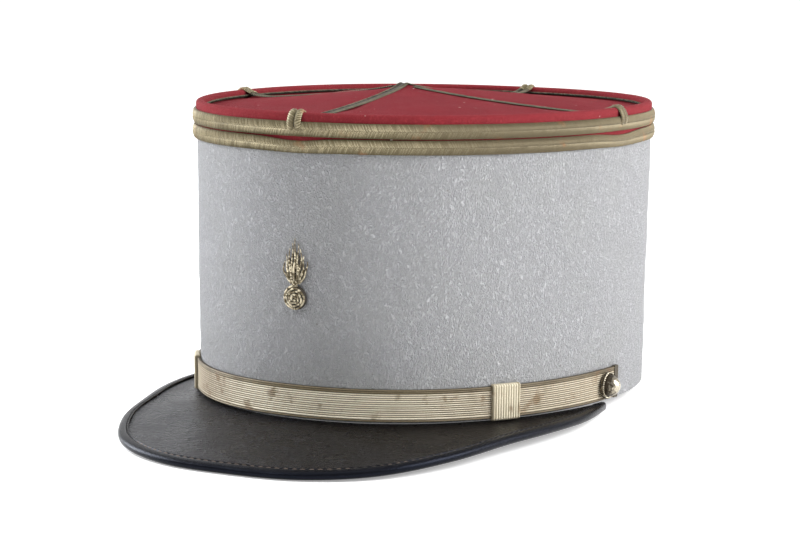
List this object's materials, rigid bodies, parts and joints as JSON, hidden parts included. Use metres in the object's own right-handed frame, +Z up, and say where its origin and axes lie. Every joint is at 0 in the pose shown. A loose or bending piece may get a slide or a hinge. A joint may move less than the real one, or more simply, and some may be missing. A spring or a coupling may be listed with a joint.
{
  "type": "kepi cap",
  "caption": "Tall oval felt cap with a red domed top, gold braids round its head, a dress chin strap between side buttons, a flame badge and a bound leather peak.",
  "frame": {"origin": "on the surface the cap rests on, at the middle of the cap's footprint box", "axes": "+Z up; the front of the cap faces -Y; +X is the wearer's left. The cap leans back 2.5 degrees, as it does when it rests on its peak and the hind edge of its crown."},
  "size_m": [0.1756, 0.277, 0.1273],
  "materials": {
    "felt_blue": "short-napped wool felt, pale silvery blue, matt and slightly crinkled",
    "felt_red": "smooth milled wool cloth, deep red, matt with a faint nap",
    "gold_braid": "flat plaited metal-thread braid with two ridges, tarnished gold",
    "soutache_dark": "narrow plaited soutache, dulled to olive brown, gold where it climbs the rim",
    "strap_gold": "woven metal tape with fine lengthwise ribs, pale gold with brown tarnish",
    "button_gilt": "domed gilt metal, polished, worn pale",
    "badge_bullion": "coiled gold bullion wire, tarnished between the strands",
    "peak_leather": "brown-black leather with a soft sheen, fine scuffs and creases",
    "peak_patent": "glossy black patent leather folded over the edge"
  },
  "bodies": {
    "root": {"crown_felt": "felt_blue", "top_rim": "felt_red", "top_disc": "felt_red", "disc_cord": "soutache_dark", "upper_braid": "gold_braid", "lower_braid": "gold_braid", "soutache_long": "soutache_dark", "soutache_left": "soutache_dark", "soutache_right": "soutache_dark", "chin_strap": "strap_gold", "keeper_left": "strap_gold", "keeper_right": "strap_gold", "button_left": "button_gilt", "button_right": "button_gilt", "badge_flame": "badge_bullion", "badge_ball": "badge_bullion", "peak": "peak_leather", "peak_binding": "peak_patent"}
  },
  "joints": []
}
